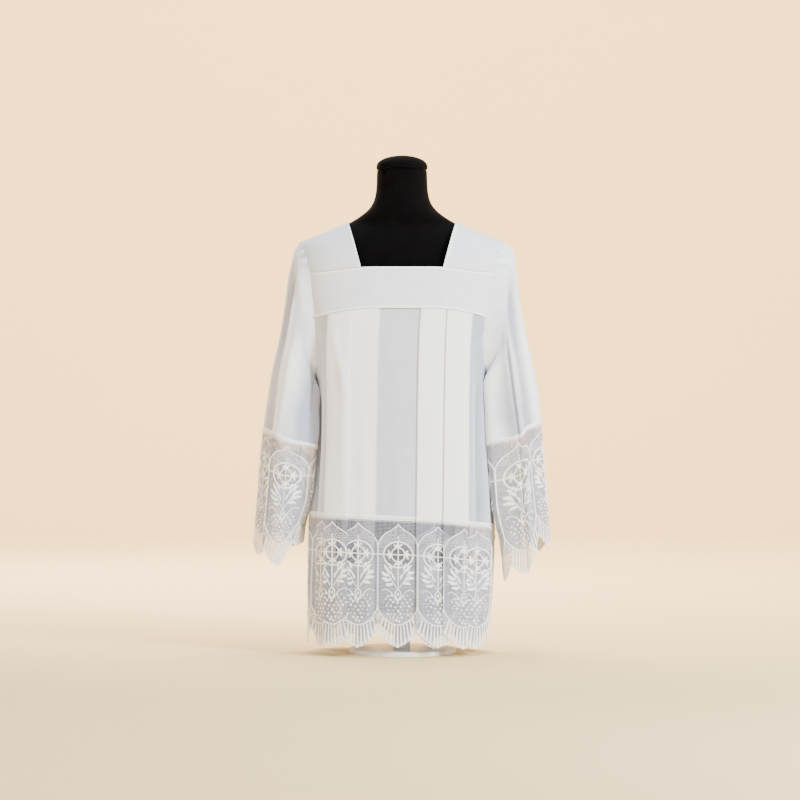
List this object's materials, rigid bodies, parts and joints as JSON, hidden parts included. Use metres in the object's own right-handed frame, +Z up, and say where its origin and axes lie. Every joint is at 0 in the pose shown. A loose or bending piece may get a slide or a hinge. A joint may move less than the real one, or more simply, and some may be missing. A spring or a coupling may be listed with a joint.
{
  "type": "surplice on a dress form",
  "caption": "White square-necked surplice with yokes, folded pleats, wide sleeves and scalloped lace borders, standing on a black table-top dress form.",
  "frame": {"origin": "centre of the underside of the dress form's round base, on the surface it stands on", "axes": "+Z up, the garment's front faces -Y, +X to the right of someone who looks at the front"},
  "size_m": [0.6642, 0.2775, 1.103],
  "materials": {
    "cloth": "fine plain-woven white cloth",
    "lace": "white embroidered net lace",
    "jersey": "matt black jersey cover",
    "stand_metal": "white enamelled steel"
  },
  "bodies": {
    "root": {"yoke_front": "cloth", "yoke_back": "cloth", "shoulder_left": "cloth", "shoulder_right": "cloth", "panel_front": "cloth", "panel_back": "cloth", "sleeve_left": "cloth", "sleeve_right": "cloth", "lace_front": "lace", "lace_back": "lace", "sleeve_lace_left_front": "lace", "sleeve_lace_left_back": "lace", "sleeve_lace_right_front": "lace", "sleeve_lace_right_back": "lace", "form_torso": "jersey", "form_neck_cap": "jersey", "form_post": "stand_metal", "form_base": "stand_metal"}
  },
  "joints": []
}
